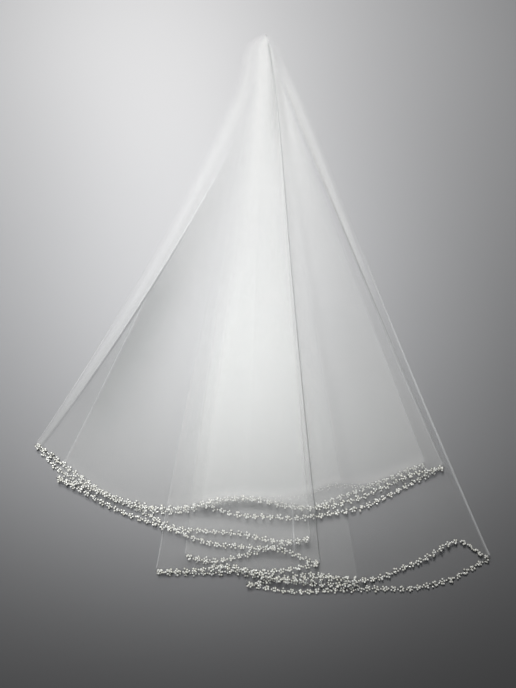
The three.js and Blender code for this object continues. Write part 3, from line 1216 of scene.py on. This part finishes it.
    def build(self) -> list[bpy.types.Object]:
        """Builds and dresses the edging.

        Returns:
            One piece for each stretch, riding on the part's body.
        """
        material = self.finish.material()
        pearl = self.model_pearl()
        pieces = []
        for stage, stretch in enumerate(STRETCHES):
            chance = np.random.default_rng(SEED + stage)
            points, faces, tones, underside_shades = self.pearls(stage, pearl, chance)
            thread_points, thread_faces = self.thread_run(stage)
            first = len(points)
            faces += [tuple(first + corner for corner in face) for face in thread_faces]
            points = np.vstack((points, thread_points))
            piece = new_piece(f"pearl_edging_{stretch.name}", points, faces, material)
            store(piece, "tone", np.concatenate((tones, np.zeros(len(thread_points)))))
            # The thread gets the full painted shade colour, which darkens the gaps between the beads.
            store(piece, "underside_shade", np.concatenate((underside_shades, np.ones(len(thread_points)))))
            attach(piece, BODY)
            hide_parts(f"beads_{stretch.name}")
            pieces.append(piece)
        return pieces


@dataclass(frozen=True)
class Lamp:
    """A round soft lamp: place, the point it faces, width, power and the angle it spreads its light over."""

    name: str
    place: tuple
    aim: tuple
    size: float
    power: float
    spread: float
    colour: tuple = (1.0, 1.0, 1.0)

    def hang(self) -> None:
        """Hangs the lamp out of the camera's sight."""
        lamp = bpy.data.lights.new(self.name, "AREA")
        lamp.shape = "DISK"
        lamp.size = self.size
        lamp.energy = self.power
        lamp.color = self.colour
        lamp.spread = math.radians(self.spread)
        light = bpy.data.objects.new(self.name, lamp)
        bpy.context.scene.collection.objects.link(light)
        light.location = self.place
        light.rotation_euler = (Vector(self.aim) - light.location).to_track_quat("-Z", "Y").to_euler()
        light.visible_camera = False


@dataclass
class Studio:
    """A pale floor, soft light from above and from beyond the upper left, and the camera."""

    peak: Vector
    floor_finish: FloorFinish = FloorFinish()
    floor_side: float = 8.0
    view_below_peak: float = 0.5198
    view_left_of_peak: float = 0.0114
    view_distance: float = 0.711
    view_tilt: float = 15.0
    lens: float = 27.05
    clip_start: float = 0.01
    lamps: tuple = (
        Lamp("key", (-0.10, 0.08, 0.78), (-0.25, 0.44, 0.0), size=0.18, power=4.9, spread=136.0),
        Lamp("overhead", (-0.08, -0.15, 1.00), (-0.05, -0.12, 0.0), size=0.20, power=0.43, spread=46.0),
        Lamp("window", (-0.42, 1.36, 1.61), (-0.15, 0.50, 0.0), size=0.60, power=9.4, spread=76.0,
             colour=(1.0, 0.975, 0.945)),
    )
    sky: tuple = (0.86, 0.93, 1.0, 1.0)
    sky_strength: float = 0.054
    see_through_steps: int = 64

    def lay_floor(self) -> None:
        """Lays the floor just under the veil."""
        bpy.ops.object.select_all(action="DESELECT")
        bpy.ops.mesh.primitive_plane_add(size=self.floor_side)
        floor = bpy.context.object
        floor.name = "floor"
        floor.data.materials.append(self.floor_finish.material())

    def light_sky(self) -> None:
        """Fills the shadows with a weak pale sky."""
        world = bpy.data.worlds.new("sky")
        world.use_nodes = True
        background = world.node_tree.nodes["Background"]
        background.inputs["Color"].default_value = self.sky
        background.inputs["Strength"].default_value = self.sky_strength
        bpy.context.scene.world = world

    def set_camera(self) -> None:
        """Sets the camera above the veil, tilted a little towards its peak."""
        target = Vector((self.peak.x - self.view_left_of_peak, self.peak.y - self.view_below_peak, 0.0))
        tilt = math.radians(self.view_tilt)
        lens = bpy.data.cameras.new("camera")
        lens.lens = self.lens
        lens.clip_start = self.clip_start
        camera = bpy.data.objects.new("camera", lens)
        bpy.context.scene.collection.objects.link(camera)
        camera.location = target + Vector((0, -math.sin(tilt), math.cos(tilt))) * self.view_distance
        camera.rotation_euler = (tilt, 0, 0)
        bpy.context.scene.camera = camera

    def build(self) -> None:
        """Sets up floor, light, camera and how many sheer layers a ray may pass."""
        self.lay_floor()
        for lamp in self.lamps:
            lamp.hang()
        self.light_sky()
        self.set_camera()
        scene = bpy.context.scene
        scene.cycles.transparent_max_bounces = self.see_through_steps
        scene.view_settings.view_transform = "Standard"


def find_peak(mouth_reach: float = 0.0697, tip_reach: float = 0.003) -> Vector:
    """Finds the fan's peak from the part's own rounded peak.

    Args:
        mouth_reach: how far that piece reaches from the peak.
        tip_reach: how far its blunt tip stays from the peak.

    Returns:
        The peak on the table.
    """
    low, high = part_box("peak")
    left = math.radians(-LEFT_1.angle)
    return Vector((low.x + mouth_reach * math.sin(left), high.y + tip_reach * math.cos(left), 0.0))


def main() -> None:
    """Builds the veil, its edging and the studio."""
    logging.basicConfig(level=logging.INFO, format="%(name)s: %(message)s")
    peak = find_peak()
    drape = Drape()
    drape.stack()
    veil = Veil(drape, peak)
    cloth = veil.build()
    LOG.info("%s: %d faces, cut area %.3f", cloth.name, len(cloth.data.polygons), veil.cut_area())
    chains = PearlEdging(drape, veil).build()
    for chain in chains:
        LOG.info("%s: %d faces", chain.name, len(chain.data.polygons))
    veil.cut_area()
    Studio(peak).build()


if __name__ == "__main__":
    main()
